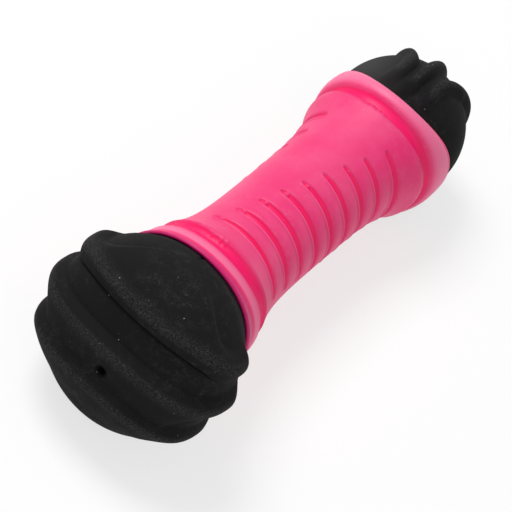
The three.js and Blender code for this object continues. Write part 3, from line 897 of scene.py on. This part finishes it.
class CHEWTOY_OT_bulbs(bpy.types.Operator):
    """Make the roll bulb and the fin bulb with their shanks"""

    bl_idname = "chewtoy.bulbs"
    bl_label = "Bulbs"

    def execute(self, context):
        toy = context.scene
        placing = toy.chewtoy_placing
        material = black_rubber(toy.chewtoy_finishes)
        for node, side, bulb, profile in (
            ("roll_bulb", -1, toy.chewtoy_roll_bulb, roll_profile),
            ("fin_bulb", 1, toy.chewtoy_fin_bulb, fin_profile),
        ):
            rows = bulb_rows(side, bulb, profile, placing)
            piece = ringed_piece(f"{node}_skin", rows, BULB_SIDES, placing)
            dress(piece, node, material)
        return {"FINISHED"}


class CHEWTOY_OT_squeaker(bpy.types.Operator):
    """Give the squeaker's body, cap and reed their plastics"""

    bl_idname = "chewtoy.squeaker"
    bl_label = "Squeaker"

    def execute(self, context):
        finishes = context.scene.chewtoy_finishes
        white = squeaker_plastic("white_plastic", finishes.plastic, roughness=0.4)
        film = squeaker_plastic("reed_film", finishes.film, roughness=0.25)
        for name, material in (("squeaker_body", white), ("squeaker_cap", white), ("squeaker_reed", film)):
            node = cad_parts[name]
            node.data.materials.clear()
            node.data.materials.append(material)
        return {"FINISHED"}


class CHEWTOY_OT_stage(bpy.types.Operator):
    """Set the camera, the lamps, the sky and the pale floor"""

    bl_idname = "chewtoy.stage"
    bl_label = "Stage"

    def execute(self, context):
        scene = context.scene
        stage = scene.chewtoy_stage
        scene.view_settings.view_transform = "Standard"
        self.add_camera(scene, stage)
        self.add_lamp(scene, "key", stage.key_place, stage.key_size, stage.key_power)
        self.add_lamp(scene, "fill", stage.fill_place, stage.fill_size, stage.fill_power)
        self.set_sky(scene, stage.sky)
        self.add_floor(scene, stage.floor_reach, stage.floor_white)
        return {"FINISHED"}

    @staticmethod
    def add_camera(scene, stage):
        """Adds the camera and makes it the scene's own."""
        camera = bpy.data.objects.new("camera", bpy.data.cameras.new("camera"))
        camera.location = stage.camera_place
        camera.rotation_euler = stage.camera_turn
        camera.data.lens = stage.lens
        camera.data.clip_start = 0.01
        scene.collection.objects.link(camera)
        scene.camera = camera

    @staticmethod
    def add_lamp(scene, name, place, size, strength):
        """Adds a square lamp that shines on the toy's middle."""
        lamp = bpy.data.lights.new(name, "AREA")
        lamp.size = size
        lamp.energy = strength
        holder = bpy.data.objects.new(name, lamp)
        holder.location = place
        holder.rotation_euler = Vector(place).to_track_quat("Z", "Y").to_euler()
        scene.collection.objects.link(holder)

    @staticmethod
    def white_to_camera(tree):
        """1 where the camera sees a surface straight on, in a reflection or through glass, and else 0."""
        path = add_node(tree, "ShaderNodeLightPath").outputs
        seen = maths(tree, "MAXIMUM", path["Is Camera Ray"], path["Is Glossy Ray"])
        return maths(tree, "MAXIMUM", seen, path["Is Transmission Ray"])

    def set_sky(self, scene, strength):
        """Lights the scene evenly from all round, with a white backdrop."""
        world = bpy.data.worlds.new("sky")
        world.use_nodes = True
        scene.world = world
        tree = world.node_tree
        glow = maths(tree, "MAXIMUM", self.white_to_camera(tree), strength)
        fill(tree.nodes["Background"], Color=WHITE, Strength=glow)

    def add_floor(self, scene, reach, whiteness):
        """Adds the pale floor, which fades into the backdrop but keeps the toy's shadow."""
        shape = bmesh.new()
        bmesh.ops.create_grid(shape, x_segments=1, y_segments=1, size=reach)
        mesh = bpy.data.meshes.new("floor")
        shape.to_mesh(mesh)
        shape.free()
        floor = bpy.data.objects.new("floor", mesh)
        scene.collection.objects.link(floor)
        material = bpy.data.materials.new("floor_white")
        material.use_nodes = True
        tree = material.node_tree
        shader = fill(tree.nodes["Principled BSDF"], Base_Color=(0.95, 0.95, 0.95, 1), Roughness=0.9)
        glow = fill(add_node(tree, "ShaderNodeEmission"), Color=WHITE, Strength=1.0)
        mix = add_node(tree, "ShaderNodeMixShader")
        put(times(tree, self.white_to_camera(tree), whiteness), mix.inputs[0])
        put(shader.outputs[0], mix.inputs[1])
        put(glow.outputs[0], mix.inputs[2])
        put(mix.outputs[0], tree.nodes["Material Output"].inputs["Surface"])
        floor.data.materials.append(material)


class CHEWTOY_PT_panel(bpy.types.Panel):
    """Lists the pieces and their sizes"""

    bl_idname = "CHEWTOY_PT_panel"
    bl_label = "Chew Toy"
    bl_space_type = "VIEW_3D"
    bl_region_type = "UI"
    bl_category = "Chew Toy"

    def draw(self, context):
        for operator in OPERATORS:
            self.layout.operator(operator.bl_idname)
        for name in SETTINGS:
            box = self.layout.box()
            group = getattr(context.scene, name)
            for field in group.bl_rna.properties:
                if field.identifier not in ("name", "rna_type"):
                    box.prop(group, field.identifier)


OPERATORS = (CHEWTOY_OT_grip_sleeve, CHEWTOY_OT_bulbs, CHEWTOY_OT_squeaker, CHEWTOY_OT_stage)
SETTINGS = {
    "chewtoy_placing": ToyPlacing,
    "chewtoy_sleeve": SleeveSizes,
    "chewtoy_roll_collar": RollCollarSizes,
    "chewtoy_fin_collar": FinCollarSizes,
    "chewtoy_roll_bulb": RollBulbSizes,
    "chewtoy_fin_bulb": FinBulbSizes,
    "chewtoy_finishes": Finishes,
    "chewtoy_stage": StageSettings,
}


def register():
    """Registers the settings, the operators and the panel."""
    for cls in (*SETTINGS.values(), *OPERATORS, CHEWTOY_PT_panel):
        bpy.utils.register_class(cls)
    for name, cls in SETTINGS.items():
        setattr(bpy.types.Scene, name, PointerProperty(type=cls))


def unregister():
    """Takes back what register did."""
    for name in SETTINGS:
        delattr(bpy.types.Scene, name)
    for cls in (CHEWTOY_PT_panel, *OPERATORS, *SETTINGS.values()):
        bpy.utils.unregister_class(cls)


def main():
    """Makes the pieces and the stage."""
    register()
    bpy.ops.chewtoy.grip_sleeve()
    bpy.ops.chewtoy.bulbs()
    bpy.ops.chewtoy.squeaker()
    bpy.ops.chewtoy.stage()


if __name__ == "__main__":
    main()
